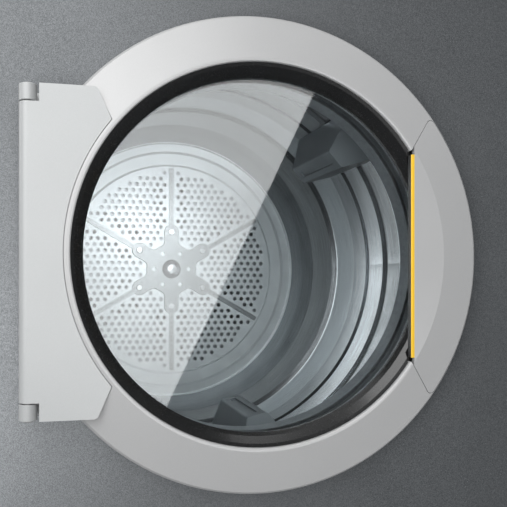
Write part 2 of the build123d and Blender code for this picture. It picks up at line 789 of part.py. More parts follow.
def front_bulkhead():
    """Inner front wall with the loading throat and bosses for the roller axles."""
    y, r = bulkhead_y, throat_radius
    body = bulkhead(y)
    body -= rod_y(r + 4, y - 5, y + 5)
    body += turned(
        [
            (r + 5, y), (r + sheet, y), (r + sheet, throat_front_y), (r, throat_front_y),
            (r, throat_back_y), (r + sheet, throat_back_y), (r + sheet, y + sheet), (r + 5, y + sheet),
        ]
    )
    body -= box(drawer_x0 - 4, drawer_x1 + 4, y - 5, y + 5, floor_z - 1, drawer_z1 + 4)
    for x, z in roller_places():
        body += rod_y(boss_radius, y, roller_y - roller_width / 2 - 3, x, z)
        body -= rod_y(axle_radius, y - 5, roller_y, x, z)
    return body


def felt_seal():
    """Felt ring between the throat and the drum's mouth."""
    inner, outer = throat_radius + sheet, drum_mouth_radius + 14
    y0, y1 = bulkhead_y + sheet, drum_front_y - fit_gap
    return turned(
        [
            (inner, y0), (outer, y0), (outer, y1 - 3), (outer - 9, y1), (inner + 1, throat_back_y),
            (inner, throat_back_y),
        ]
    )


def roller_axles():
    """Fixed steel axles of the two support rollers, held in the bulkhead's bosses."""
    y0, y1 = bulkhead_y - 1.5, roller_y + roller_width / 2 + 4
    return group([rod_y(axle_radius, y0, y1, x, z) for x, z in roller_places()])


def roller(place):
    """Support roller: a hub, a thin web and a round-edged tyre."""
    x, z = place
    y0, y1 = roller_y - roller_width / 2, roller_y + roller_width / 2
    bore, tyre, r = axle_radius + pin_clearance, roller_radius - 6, roller_radius
    return turned(
        [
            (bore, y0 - 1.5), (bore + 4, y0 - 1.5), (bore + 5, y0 + 3), (tyre, y0 + 3), (tyre + 1, y0),
            (r - 1, y0), (r, y0 + 1), (r, y1 - 1), (r - 1, y1),
            (tyre + 1, y1), (tyre, y1 - 3), (bore + 5, y1 - 3), (bore + 4, y1 + 1.5), (bore, y1 + 1.5),
        ],
        x,
        z,
    )


def rear_bulkhead():
    """Inner rear wall with six hot-air windows round the bearing seat."""
    y = rear_bulkhead_y
    body = bulkhead(y)
    body -= rod_y(bearing_radius, y - 5, y + 5)
    windows = Sketch()
    for i in range(spoke_count):
        window = RectangleRounded(window_length, window_width, 12)
        windows += Rot(0, 0, 30 + i * 60) * (Pos(window_circle, 0) * window)
    body -= slab(windows, y - 5, y + 5)
    return body - rod_y(duct_radius + fit_gap, y - 5, y + 5, exhaust_x, exhaust_z)


def heater_housing():
    """Round sheet-metal hood on the rear bulkhead that leads hot air to the drum."""
    y0, r, t = rear_bulkhead_y + sheet, hood_radius, 1.0
    y1 = y0 + heater_depth
    return turned(
        [
            (r + 10, y0), (r + 10, y0 + t), (r, y0 + t), (r - 4, y1 - 2), (r - 8, y1),
            (0, y1), (0, y1 - t), (r - 9, y1 - t), (r - 5, y1 - 4), (r - t, y0),
        ]
    )


def heater_element():
    """Three rings of heating rod inside the hood, on a strap fixed to the rear bulkhead."""
    y, (inner, outer), half = rear_bulkhead_y + heater_depth / 2, heater_strap, heater_strap_half
    x0, x1 = axis_x - half, axis_x + half
    body = box(x0, x1, y - 4, y + 4, axis_z + inner, axis_z + outer)
    body += box(x0, x1, rear_bulkhead_y + sheet, y + 4, axis_z + outer - half, axis_z + outer)
    for radius in heater_rings:
        body += Pos(axis_x, y, axis_z) * Rot(90, 0, 0) * Torus(radius, heater_rod)
    return body


def bearing_housing():
    """Flanged housing for the drum's rear bearing, seated in the rear bulkhead."""
    y, bore, seat = rear_bulkhead_y, shaft_radius + pin_clearance, bearing_radius
    return turned(
        [
            (bore, y - 5), (24, y - 5), (26, y - 3), (seat + 10, y - 3), (seat + 10, y),
            (seat, y), (seat, y + 18), (seat - 2, y + 20), (bore, y + 20),
        ]
    )


# ---------------------------------------------------------------- drum
def drum_profile():
    """(radius, y) of the inside of the drum wall from its mouth to its tail, with three rolled beads."""
    r, low = drum_radius, drum_radius - bead_height

    def at(share):
        return drum_front_y + share * drum_length

    return [
        (drum_mouth_radius + 14, drum_front_y), (r - 9, at(0.022)), (r - 2, at(0.032)), (r, at(0.042)),
        (r, at(0.130)), (low, at(0.138)), (low, at(0.218)), (r, at(0.232)), (r, at(0.308)),
        (low, at(0.316)), (low, at(0.398)), (r - 1, at(0.406)), (r - 1, at(0.412)), (low, at(0.420)),
        (low, at(0.500)), (r, at(0.508)), (r, at(0.645)), (low, at(0.675)), (low, at(0.845)),
        (drum_tail_radius, drum_back_y - 6),
    ]


def drum_shell():
    """Rolled steel drum wall with a turned-in mouth, closed behind by the drum back."""
    t, y0, y1 = drum_wall, drum_front_y, drum_back_y
    inside = drum_profile()
    outside = [(r + t, y) for r, y in inside[1:]]
    mouth = drum_mouth_radius
    front = [(mouth, y0 + t), (mouth, y0), inside[0]]
    tail = [(drum_tail_radius + t, y1), (drum_tail_radius, y1)]
    return turned(front + outside + tail + inside[:0:-1] + [(inside[0][0] - 1, y0 + t)])


def perforations():
    """Centres of the holes in the drum back, in hexagonal order, clear of the ribs and the star."""
    row_step = hole_pitch * sqrt(3) / 2
    rows = int(perforated_radius / row_step) + 1
    columns = int(perforated_radius / hole_pitch) + 1
    rib_clear = spoke_width / 2 + hole_radius + 1
    edge = perforated_radius - hole_radius - 6
    places = []
    for i in range(-rows, rows + 1):
        for j in range(-columns, columns + 1):
            u, v = (j + 0.5 * (i % 2)) * hole_pitch, i * row_step
            r, angle = hypot(u, v), degrees(atan2(v, u))
            off = radians(abs(((angle - 30) + 30) % 60 - 30))
            if r < edge and r * sin(off) > rib_clear and not near_star(r * cos(off), r * sin(off)):
                places.append((u, v))
    return places


def near_star(along, across):
    """Whether a hole would touch the star plate; along and across are measured from its nearest arm."""
    reach = star_arm_width / 2 + hole_radius + 1
    tip = hypot(along - (star_tip_radius - star_arm_width / 2), across)
    on_arm = along < star_tip_radius - star_arm_width / 2 and across < reach
    return on_arm or tip < reach or hypot(along, across) < star_valley_radius + hole_radius + 2


def star_outline():
    """Six-armed star with round tips and scalloped valleys."""
    star = Circle(star_valley_radius)
    length = star_tip_radius - star_arm_width / 2
    for i in range(spoke_count):
        arm = Pos(length / 2, 0) * Rectangle(length, star_arm_width)
        arm += Pos(length, 0) * Circle(star_arm_width / 2)
        star += Rot(0, 0, 30 + i * 60) * arm
    inner = [v for v in star.vertices() if hypot(v.X, v.Y) < star_valley_radius + 3]
    return fillet(inner, 10.0)


def drum_back():
    """Rear wall of the drum: a rim with an annular channel round a perforated disc."""
    y, t, p, tail = drum_back_y, drum_wall, perforated_radius, drum_tail_radius
    rim = turned(
        [
            (tail, y - 6), (tail, y + t), (p + 34, y + t), (p + 30, y + t + 5), (p + 6, y + t + 5),
            (p + 1, y + t), (p - 2, y + t), (p - 2, y), (p + 2, y), (p + 7, y + 5), (p + 29, y + 5),
            (p + 33, y), (tail - 3, y), (tail - t, y - 6),
        ]
    )
    plane = front_plane(y + t)
    holes = [plane * Pos(u, v) * Circle(hole_radius).wire() for u, v in perforations()]
    holes.append(plane * Circle(shaft_radius).wire())
    face = Face(plane * Circle(p).wire(), holes)
    return rim + extrude(face, amount=t, dir=(0, -1, 0))


def star_bolt_places():
    """(x, z) of the bolts at the ends of the star's arms."""
    return [on_circle(star_tip_radius - star_arm_width / 2, 30 + i * 60) for i in range(spoke_count)]


def drum_star():
    """Star plate that carries the drum on its shaft, with a rib along each arm out to the rim."""
    y = drum_back_y
    star = slab(star_outline(), y - star_thickness, y)
    star = chamfer(star.faces().sort_by(Axis.Y)[0].edges(), 0.9)
    start, end = star_tip_radius - 10, perforated_radius - 1
    rib = Pos((start + end) / 2, 0) * Rectangle(end - start, spoke_width)
    ribs = Sketch()
    for i in range(spoke_count):
        ribs += Rot(0, 0, 30 + i * 60) * rib
    star += slab(ribs, y - spoke_height, y)
    star -= rod_y(shaft_radius, y - 10, y + 5)
    for x, z in star_bolt_places():
        star -= rod_y(star_bolt_radius, y - 10, y + 5, x, z)
    for i in range(spoke_count):
        x, z = on_circle(0.7 * star_valley_radius, i * 60)
        star -= rod_y(hole_radius, y - 10, y + 5, x, z)
    return star


def star_bolts():
    """Round-headed bolts at the ends of the star's arms."""
    y = drum_back_y - star_thickness
    bolts = []
    for x, z in star_bolt_places():
        head = rounded_front(rod_y(6.5, y - 3, y, x, z), 1.5)
        bolts.append(head + rod_y(star_bolt_radius, y, drum_back_y, x, z))
    return group(bolts)


def drum_shaft():
    """Drum shaft with a domed head in front, running in the rear bearing."""
    y0, y1 = drum_back_y - star_thickness, rear_bulkhead_y + 26
    head = turned([(0, y0 - 9), (9, y0 - 8.5), (15, y0 - 6), (19, y0 - 2), (19.5, y0), (0, y0)])
    return rod_y(shaft_radius, y0, y1) + head


def lifter(index):
    """Hollow trapezoid lifter with sloping ends and a groove in its crest, fixed in the drum."""
    wall, slope = 4.0, 26.0
    y0, y1 = lifter_front_y, lifter_front_y + lifter_length
    foot = sqrt((drum_radius - bead_height) ** 2 - (lifter_base / 2) ** 2) - fit_gap
    top = foot - lifter_height
    half_base, half_top = lifter_base / 2, lifter_top / 2
    corners = [(foot, -half_base), (foot, half_base), (top, half_top), (top, -half_top)]
    outline = Polyline(*corners, close=True)
    body = slab(make_face(outline), y0, y1, 0, 0)
    crest = [e for e in body.edges().filter_by(Axis.Y) if e.center().X < top + 1]
    body = fillet(crest, 5.0)
    for end, inward in ((y0, 1), (y1, -1)):
        corners = [(top - 1, end - inward), (top - 1, end + inward * slope), (foot, end - inward)]
        body -= extrude(make_face(Polyline(*corners, close=True)), amount=lifter_base, both=True)
    groove, margin = half_top / 3, slope + 14
    body -= box(top - 2, top + lifter_groove, y0 + margin, y1 - margin, -groove, groove)
    body -= box(top + wall + 3, foot + 1, y0 + slope, y1 - slope, -half_top, half_top)
    turn = lifter_phase + index * 360 / lifter_count
    return Pos(axis_x, 0, axis_z) * Rot(0, -turn, 0) * body


# ---------------------------------------------------------------- drive
def belt_lean():
    """(heading from drum to motor, half the angle between the belt's tangent points), in radians."""
    dx, dz = motor_x - axis_x, motor_z - axis_z
    return atan2(dz, dx), acos((belt_drum_radius - belt_pulley_radius) / hypot(dx, dz))


def belt_outline(extra):
    """The belt's loop about the drum's axis, grown by extra from its inner face."""
    heading, lean = belt_lean()
    big, small = belt_drum_radius + extra, belt_pulley_radius + extra
    mx, mz = motor_x - axis_x, motor_z - axis_z

    def drum_point(angle):
        return big * cos(angle), big * sin(angle)

    def motor_point(angle):
        return mx + small * cos(angle), mz + small * sin(angle)

    a, b = heading + lean, heading - lean
    return make_face(
        [
            ThreePointArc(drum_point(a), drum_point(heading + pi), drum_point(b)),
            Line(drum_point(b), motor_point(b)),
            ThreePointArc(motor_point(b), motor_point(heading), motor_point(a)),
            Line(motor_point(a), drum_point(a)),
        ]
    )


def drive_belt():
    """Flat belt round the drum and the motor pulley."""
    return slab(belt_outline(belt_thickness) - belt_outline(0.0), belt_front_y, belt_rear_y)


def motor_body():
    """Motor can with cooling grooves, on two cradles that stand on the floor of the machine."""
    y0, y1, grooves = motor_y0, motor_y1, 16
    can = rod_y(motor_radius, y0, y1, motor_x, motor_z)
    can = fillet(can.edges().filter_by(GeomType.CIRCLE), 6.0)
    for i in range(grooves):
        x, z = on_circle(motor_radius, i * 360 / grooves, motor_x, motor_z)
        can -= rod_y(2.0, y0 + 20, y1 - 20, x, z)
    for y in (y0 + 18, y1 - 30):
        can += box(motor_x - 40, motor_x + 40, y, y + 12, floor_z, motor_z - 20)
    return can - rod_y(motor_shaft_radius + pin_clearance, y0 - 5, y1 + 5, motor_x, motor_z)


def motor_shaft():
    """Motor shaft from the fan to the belt, with the flanged belt pulley machined on its rear end."""
    y0, y1, r, flange = belt_front_y, belt_rear_y, pulley_radius, pulley_radius + 4
    shaft, tip = motor_shaft_radius, fan_y0 + 12
    return turned(
        [
            (0, tip), (shaft, tip), (shaft, y0 - 6), (flange, y0 - 3), (flange, y0 - 1),
            (r, y0 - 1), (r, y1 + 1), (flange, y1 + 1), (flange, y1 + 3), (0, y1 + 3),
        ],
        motor_x,
        motor_z,
    )


def fan_wheel():
    """Centrifugal wheel with straight blades, on the front end of the motor shaft."""
    y0, y1, inner, blades = fan_y0 + 7, fan_y1 - 7, fan_radius - 12, 16
    wheel = ring_y(fan_radius, motor_shaft_radius, y1 - 2, y1, motor_x, motor_z)
    wheel += ring_y(fan_radius, inner, y0, y0 + 1.5, motor_x, motor_z)
    wheel += ring_y(13.0, motor_shaft_radius, y0 + 8, y1, motor_x, motor_z)
    for i in range(blades):
        blade = box(inner, fan_radius - 0.5, y0, y1, -0.9, 0.9)
        wheel += Pos(motor_x, 0, motor_z) * Rot(0, i * 360 / blades, 0) * blade
    return wheel


def scroll_outline(inset):
    """The blower's outline: a round case with a channel across to the exhaust duct."""
    x0 = exhaust_x - duct_radius - 6 + inset
    z0, z1 = exhaust_z - duct_radius + 1 + inset, exhaust_z + duct_radius - 1 - inset
    channel = Pos((x0 + motor_x) / 2, (z0 + z1) / 2) * Rectangle(motor_x - x0, z1 - z0)
    return Pos(motor_x, motor_z) * Circle(fan_case_radius - inset) + channel


def fan_housing():
    """Blower scroll with an inlet mouth in front and an outlet for the exhaust duct behind."""
    wall = 2.0
    body = slab(scroll_outline(0.0), fan_y0, fan_y1, 0, 0)
    body -= slab(scroll_outline(wall), fan_y0 + wall, fan_y1 - wall, 0, 0)
    body -= rod_y(fan_mouth_radius, fan_y0 - 5, fan_y0 + 5, motor_x, motor_z)
    body -= rod_y(motor_shaft_radius + 1, fan_y1 - 5, fan_y1 + 5, motor_x, motor_z)
    return body - rod_y(duct_radius - duct_wall, fan_y1 - 5, fan_y1 + 5, exhaust_x, exhaust_z)


def exhaust_duct():
    """Round exhaust pipe from the blower to the necked spigot on the back."""
    r, t, neck = duct_radius, duct_wall, spigot_radius
    y0, y1, y2 = fan_y1, back_panel_y + spigot_collar, back_panel_y + spigot_length
    return turned(
        [
            (r - t, y0), (r, y0), (r, y1), (neck, y1), (neck, y2), (neck - t, y2),
            (neck - t, y1 - t), (r - t, y1 - t),
        ],
        exhaust_x,
        exhaust_z,
    )


def lint_duct():
    """Sheet-metal channel that houses the lint drawer and feeds the blower."""
    gap = 1.5
    x0, x1, z0, z1 = drawer_x0 - gap, drawer_x1 + gap, drawer_z0 - gap, drawer_z1 + gap
    t = sheet
    body = box(x0 - t, x1 + t, duct_y0, duct_y1, z0 - t, z1 + t)
    body -= box(x0, x1, duct_y0 - 1, duct_y1 - t, z0, z1)
    body -= rod_y(fan_mouth_radius, duct_y1 - 5, duct_y1 + 5, motor_x, motor_z - 10)
    body -= box(x0 + 20, x1 - 20, duct_y0 + 30, duct_y0 + 80, z1 - 1, z1 + t + 1)
    return body + box(x0, x0 + 20, duct_y0 + 40, duct_y1 - 20, floor_z, z0 - t)


def lint_drawer():
    """Drawer front with a finger groove, carrying an open-topped filter tray."""
    y0, y1 = front_panel_y, front_panel_y + drawer_front
    y2, w = y1 + drawer_depth, drawer_wall
    front = rounded_front(box(drawer_x0, drawer_x1, y0, y1, drawer_z0, drawer_z1), 1.5)
    front -= box(drawer_x0 + 35, drawer_x1 - 35, y0 - 1, y1 - 2, drawer_z1 - 18, drawer_z1 - 5)
    x0, x1, z0, z1 = drawer_x0 + 3, drawer_x1 - 3, drawer_z0 + 2, drawer_z1 - 8
    tray = box(x0, x1, y1, y2, z0, z1) - box(x0 + w, x1 - w, y1, y2 - w, z0 + w, z1 + 1)
    tray -= box(x0 + 10, x1 - 10, y2 - 5, y2 + 5, z0 + 8, z1 - 8)
    return front + tray


def lint_screen():
    """Lint screen: a frame with crossed wires, standing in front of the drawer's rear wall."""
    y = front_panel_y + drawer_front + drawer_depth - drawer_wall
    x0, x1 = drawer_x0 + 3 + drawer_wall, drawer_x1 - 3 - drawer_wall
    z0, z1 = drawer_z0 + 2 + drawer_wall, drawer_z1 - 9
    edge, wire, columns, rows = 4.0, 0.5, 15, 6
    frame = box(x0, x1, y - 4, y, z0, z1)
    frame -= box(x0 + edge, x1 - edge, y - 6, y + 1, z0 + edge, z1 - edge)
    for i in range(1, columns):
        x = x0 + i * (x1 - x0) / columns
        frame += box(x - wire, x + wire, y - 3, y - 2, z0 + 2, z1 - 2)
    for i in range(1, rows):
        z = z0 + i * (z1 - z0) / rows
        frame += box(x0 + 2, x1 - 2, y - 3, y - 2, z - wire, z + wire)
    return frame


def idler_centre():
    """(x, z) of the tension pulley, which bears on the outside of the belt's lower run."""
    heading, lean = belt_lean()
    angle, share = heading - lean, idler_share
    drum_x, drum_z = on_circle(belt_drum_radius, degrees(angle))
    pulley_x, pulley_z = on_circle(belt_pulley_radius, degrees(angle), motor_x, motor_z)
    out = belt_thickness + fit_gap + idler_radius
    x = drum_x * (1 - share) + pulley_x * share + out * cos(angle)
    z = drum_z * (1 - share) + pulley_z * share + out * sin(angle)
    return x, z


def idler_pivot():
    """(x, z) of the pin that the idler arm swings on, always clear of the exhaust duct."""
    x, z = idler_centre()
    least_x = exhaust_x + duct_radius + idler_stand_half + idler_stand_gap
    return max(x + idler_pivot_dx, least_x), z + idler_pivot_dz


def idler_arm():
    """Swinging arm from its pivot to the tension pulley's stub axle."""
    px, pz = idler_pivot()
    cx, cz = idler_centre()
    y0, y1 = belt_rear_y + 3, belt_rear_y + 7
    angle = degrees(atan2(cz - pz, cx - px))
    bar = Pos(px, 0, pz) * Rot(0, -angle, 0) * box(0, hypot(cx - px, cz - pz), y0, y1, -7, 7)
    body = bar + rod_y(10.0, y0, y1, px, pz) + rod_y(7.0, y0, y1, cx, cz)
    body += rod_y(axle_radius, belt_front_y - 4, y0 + 1, cx, cz)
    return body - rod_y(axle_radius + pin_clearance, y0 - 5, y1 + 5, px, pz)


def idler_pulley():
    """Tension pulley on the arm's stub axle."""
    cx, cz = idler_centre()
    y0, y1, bore = belt_front_y - 2, belt_rear_y + 2, axle_radius + pin_clearance
    return turned([(bore, y0), (idler_radius, y0), (idler_radius, y1), (bore, y1)], cx, cz)


# ---------------------------------------------------------------- build
left_button_x, right_button_x = button_places
nodes = {
    "base_tray": base_tray,
    "foot_pads": foot_pads,
    "foot_studs": foot_studs,
    "side_panel_left": lambda: side_panel(-1),
    "side_panel_right": lambda: side_panel(1),
    "back_panel": back_panel,
    "worktop": worktop,
    "front_panel": front_panel,
    "plinth_panel": plinth_panel,
    "control_fascia": control_fascia,
    "display_window": display_window,
    "program_knob": program_knob,
    "start_button": lambda: push_button(left_button_x),
    "stop_button": lambda: push_button(right_button_x),
    "mains_inlet": mains_inlet,
    "hinge_bracket_lower": lambda: hinge_bracket(hinge_z0),
    "hinge_bracket_upper": lambda: hinge_bracket(hinge_z1 - knuckle_height),
    "hinge_pins": hinge_pins,
    "hinge_bushes": hinge_bushes,
    "hinge_screws": hinge_screws,
    "hinge_plate": hinge_plate,
    "door_ring": door_ring,
    "handle_plate": handle_plate,
    "handle_strip": handle_strip,
    "door_bezel": door_bezel,
    "door_glass": door_glass,
    "glass_gasket": glass_gasket,
    "door_pan": door_pan,
    "door_screws": door_screws,
    "door_seal": door_seal,
    "door_magnet": door_magnet,
    "catch_plate": catch_plate,
    "front_bulkhead": front_bulkhead,
    "felt_seal": felt_seal,
    "roller_axles": roller_axles,
    "roller_left": lambda: roller(roller_places()[0]),
    "roller_right": lambda: roller(roller_places()[1]),
    "rear_bulkhead": rear_bulkhead,
    "heater_housing": heater_housing,
    "heater_element": heater_element,
    "bearing_housing": bearing_housing,
    "drum_shell": drum_shell,
    "drum_back": drum_back,
    "drum_star": drum_star,
    "star_bolts": star_bolts,
    "drum_shaft": drum_shaft,
    "lifter_1": lambda: lifter(0),
    "lifter_2": lambda: lifter(1),
    "lifter_3": lambda: lifter(2),
    "drive_belt": drive_belt,
    "motor_body": motor_body,
    "motor_shaft": motor_shaft,
    "fan_wheel": fan_wheel,
    "fan_housing": fan_housing,
    "exhaust_duct": exhaust_duct,
    "lint_duct": lint_duct,
    "lint_drawer": lint_drawer,
    "lint_screen": lint_screen,
    "idler_arm": idler_arm,
    "idler_pulley": idler_pulley,
}

for name, make in nodes.items():
    export_step(make(), f"parts/{name}.step")
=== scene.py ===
"""Looks of a front-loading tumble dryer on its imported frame: materials, trim, floor, light and camera."""
import bmesh
import bpy
import math
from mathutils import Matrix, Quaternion, Vector


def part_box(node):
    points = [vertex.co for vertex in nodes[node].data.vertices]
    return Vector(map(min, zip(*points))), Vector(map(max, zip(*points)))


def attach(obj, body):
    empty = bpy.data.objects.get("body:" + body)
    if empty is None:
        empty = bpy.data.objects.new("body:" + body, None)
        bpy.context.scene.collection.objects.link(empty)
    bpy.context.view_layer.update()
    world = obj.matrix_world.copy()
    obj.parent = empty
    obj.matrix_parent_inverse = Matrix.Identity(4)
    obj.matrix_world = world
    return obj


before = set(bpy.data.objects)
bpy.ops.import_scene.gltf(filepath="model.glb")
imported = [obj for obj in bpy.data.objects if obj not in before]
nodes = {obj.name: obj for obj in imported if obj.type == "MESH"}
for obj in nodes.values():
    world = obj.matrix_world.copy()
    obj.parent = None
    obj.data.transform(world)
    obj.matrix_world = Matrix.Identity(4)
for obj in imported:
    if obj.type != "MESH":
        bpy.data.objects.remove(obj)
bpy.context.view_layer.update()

# ---------------------------------------------------------------- places, from the frame
glass_low, glass_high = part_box("door_glass")
axis = (glass_low + glass_high) / 2  # the door's and the drum's common axis passes here
face_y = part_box("door_ring")[0].y  # front of the door's ring
panel_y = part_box("front_panel")[0].y  # front of the front panel

# ---------------------------------------------------------------- camera
camera_x = -0.230
camera_y = -0.990
camera_drop = 0.035  # below the door's axis
camera_yaw = math.radians(11.0)  # towards the right
camera_reach = 1.188  # focal length over sensor width
camera_shift = (0.15, 0.064)


def make_camera():
    """A camera left of the door's axis and a little below it, level, looking slightly to the right."""
    data = bpy.data.cameras.new("camera")
    camera = bpy.data.objects.new("camera", data)
    bpy.context.scene.collection.objects.link(camera)
    camera.location = (camera_x, camera_y, axis.z - camera_drop)
    camera.rotation_euler = (math.pi / 2, 0, -camera_yaw)
    data.sensor_width = 36.0
    data.lens = data.sensor_width * camera_reach
    data.shift_x, data.shift_y = camera_shift
    data.clip_start = 0.01
    bpy.context.scene.camera = camera


# ---------------------------------------------------------------- material kit
class Shader:
    """One material's node tree, with short calls for the nodes used here."""

    def __init__(self, name):
        self.material = bpy.data.materials.new(name)
        self.material.use_nodes = True
        self.tree = self.material.node_tree
        self.main = self.tree.nodes["Principled BSDF"]
        coordinates = self.tree.nodes.new("ShaderNodeTexCoord")
        self.place = coordinates.outputs["Object"]

    def node(self, kind, values=None, **settings):
        """A new node, with its settings and the values or links of its inputs."""
        made = self.tree.nodes.new("ShaderNode" + kind)
        for key, value in settings.items():
            setattr(made, key, value)
        for key, value in (values or {}).items():
            self.feed(made.inputs[key], value)
        return made

    def feed(self, socket, value):
        """Links or sets one input."""
        if isinstance(value, bpy.types.NodeSocket):
            self.tree.links.new(value, socket)
        else:
            socket.default_value = value

    def set(self, **values):
        """Sets the shader's own sockets; an underscore in a name stands for a space."""
        for key, value in values.items():
            self.feed(self.main.inputs[key.replace("_", " ")], value)

    def noise(self, scale, detail=3.0, stretch=(1, 1, 1)):
        """Noise in the object's own metres, from 0 to 1; scale is per metre."""
        mapping = self.node("Mapping", {"Vector": self.place, "Scale": stretch})
        values = {"Vector": mapping.outputs[0], "Scale": scale, "Detail": detail}
        return self.node("TexNoise", values).outputs["Fac"]

    def cells(self, scale):
        """Voronoi cells: (distance from the cell's point, cell colour)."""
        made = self.node("TexVoronoi", {"Vector": self.place, "Scale": scale})
        return made.outputs["Distance"], made.outputs["Color"]

    def remap(self, value, low, high, start=0.3, end=0.7):
        """A value from start..end taken to low..high."""
        values = {"Value": value, "From Min": start, "From Max": end, "To Min": low, "To Max": high}
        return self.node("MapRange", values).outputs[0]

    def blend(self, share, first, second):
        """A colour between two; a Mix node's colours have sockets of their own, found by number."""
        made = self.node("Mix", data_type="RGBA")
        self.feed(made.inputs[0], share)
        self.feed(made.inputs[6], first)
        self.feed(made.inputs[7], second)
        return made.outputs[2]

    def add(self, first, second, clamp=False):
        """The sum of two values, kept in 0..1 if clamp is set."""
        return self.node("Math", {0: first, 1: second}, operation="ADD", use_clamp=clamp).outputs[0]

    def bump(self, height, strength, distance=0.001, normal=None):
        """Bump from a height; distance is in metres."""
        values = {"Height": height, "Strength": strength, "Distance": distance}
        if normal is not None:
            values["Normal"] = normal
        return self.node("Bump", values).outputs[0]


def grey(value, tint=(1.0, 1.0, 1.0)):
    """A grey, slightly tinted."""
    return (value * tint[0], value * tint[1], value * tint[2], 1.0)


def grain_paint(name, base, flake, roughness=0.42, metallic=0.55):
    """Grey metallic paint with a fine pressed grain."""
    s = Shader(name)
    fine = s.noise(scale=1500.0, detail=2.0)
    soft = s.noise(scale=420.0)
    cloud = s.noise(scale=7.0, detail=2.0)
    speck = s.remap(fine, low=0.0, high=1.0, start=0.35, end=0.65)
    colour = s.blend(speck, base, flake)
    shade = s.remap(cloud, low=0.94, high=1.05)
    shades = s.node("CombineXYZ", {0: shade, 1: shade, 2: shade}).outputs[0]
    clouded = s.node("VectorMath", {0: colour, 1: shades}, operation="MULTIPLY").outputs[0]
    s.set(
        Base_Color=clouded,
        Roughness=s.remap(soft, roughness - 0.07, roughness + 0.09),
        Metallic=metallic,
        Normal=s.bump(soft, strength=0.25, distance=0.0004, normal=s.bump(fine, 0.3, 0.0002)),
    )
    return s.material


def satin_silver(name, base, roughness=0.34, metallic=0.8):
    """Silver lacquer: a very fine flake and faint cloudiness in its gloss."""
    s = Shader(name)
    fine = s.noise(scale=2600.0, detail=1.0)
    cloud = s.noise(scale=16.0)
    dark = tuple(0.90 * c for c in base[:3]) + (1.0,)
    s.set(
        Base_Color=s.blend(s.remap(fine, low=0.0, high=1.0), dark, base),
        Roughness=s.remap(cloud, roughness - 0.03, roughness + 0.05),
        Metallic=metallic,
        Normal=s.bump(fine, strength=0.12, distance=0.0001),
    )
    return s.material


def moulded(name, base, roughness=0.45, texture=0.25, scale=900.0, coat=0.0):
    """Moulded plastic with a fine grained skin."""
    s = Shader(name)
    fine = s.noise(scale, detail=2.0)
    cloud = s.noise(scale=22.0)
    light = tuple(min(1.0, 1.25 * c + 0.004) for c in base[:3]) + (1.0,)
    s.set(
        Base_Color=s.blend(s.remap(cloud, low=0.0, high=0.6), base, light),
        Roughness=s.remap(fine, roughness - 0.05, roughness + 0.07),
        Normal=s.bump(fine, strength=texture, distance=0.0002),
        Coat_Weight=coat,
        Coat_Roughness=0.08,
    )
    return s.material


def rubber(name, base=0.022):
    """Matt black rubber with a dusty bloom."""
    s = Shader(name)
    fine = s.noise(scale=1200.0)
    bloom = s.noise(scale=45.0, detail=4.0)
    s.set(
        Base_Color=s.blend(s.remap(bloom, low=0.0, high=0.8), grey(base), grey(2.2 * base)),
        Roughness=s.remap(bloom, low=0.62, high=0.82),
        Normal=s.bump(fine, strength=0.35, distance=0.0002),
    )
    return s.material


def steel(name, dark, light, roughness=0.30, scale=900.0, speck=0.5):
    """Bare steel: fine specks and broad clouds in its tone, and specks in its gloss."""
    s = Shader(name)
    fine = s.noise(scale)
    broad = s.noise(scale=28.0, detail=4.0)
    tone = s.add(s.remap(fine, low=0.0, high=speck), s.remap(broad, low=0.0, high=1.0 - speck))
    s.set(
        Base_Color=s.blend(tone, dark, light),
        Roughness=s.remap(fine, roughness - 0.06, roughness + 0.10),
        Metallic=1.0,
        Normal=s.bump(fine, strength=0.25, distance=0.0002),
    )
    return s.material


def galvanised(name, base=0.42):
    """Zinc-coated sheet with its spangle of crystals."""
    s = Shader(name)
    distance, colour = s.cells(scale=210.0)
    tone = s.node("SeparateColor", {0: colour}).outputs[0]
    fine = s.noise(scale=700.0)
    dark, light = grey(0.88 * base, (0.98, 1.0, 1.03)), grey(1.10 * base, (0.98, 1.0, 1.02))
    s.set(
        Base_Color=s.blend(tone, dark, light),
        Roughness=s.remap(tone, low=0.38, high=0.46, start=0.0, end=1.0),
        Metallic=0.9,
        Normal=s.bump(fine, strength=0.15, distance=0.0002, normal=s.bump(distance, 0.05, 0.0004)),
    )
    return s.material


def felt(name):
    """Brown-grey wool felt."""
    s = Shader(name)
    fibre = s.noise(scale=1800.0, detail=5.0, stretch=(1, 1, 0.4))
    dark, light = grey(0.07, (1.0, 0.95, 0.9)), grey(0.20, (1.0, 0.96, 0.92))
    s.set(
        Base_Color=s.blend(s.remap(fibre, low=0.0, high=1.0), dark, light),
        Roughness=0.95,
        Sheen_Weight=0.4,
        Normal=s.bump(fibre, strength=0.8, distance=0.0006),
    )
    return s.material


def clear_glass(name):
    """Safety glass: mirror-like at its surface and clear behind, so that lamplight reaches the drum."""
    s = Shader(name)
    smear = s.noise(scale=9.0, detail=4.0)
    s.set(Base_Color=grey(0.03), Roughness=0.1)
    clear = s.node("BsdfTransparent", {"Color": (0.95, 0.975, 0.98, 1.0)})
    gloss_roughness = s.remap(smear, low=0.012, high=0.03)
    gloss = s.node("BsdfGlossy", {"Color": grey(1.0), "Roughness": gloss_roughness})
    mirror = s.node("Fresnel", {"IOR": 1.5})
    mix = s.node("MixShader", {0: mirror.outputs[0], 1: clear.outputs[0], 2: gloss.outputs[0]})
    s.tree.links.new(mix.outputs[0], s.tree.nodes["Material Output"].inputs["Surface"])
    return s.material


drum_band_light = (  # share of the drum's length where a band ends, and the band's tone up to there; the light tones are painted highlights and the dark ones painted shade
    (0.130, 0.85), (0.218, 0.16), (0.232, 0.75), (0.308, 0.28), (0.398, 0.50), (0.420, 0.05), (0.500, 0.45),
    (0.645, 0.78), (0.675, 0.10), (0.845, 0.18), (1.0, 0.45),
)


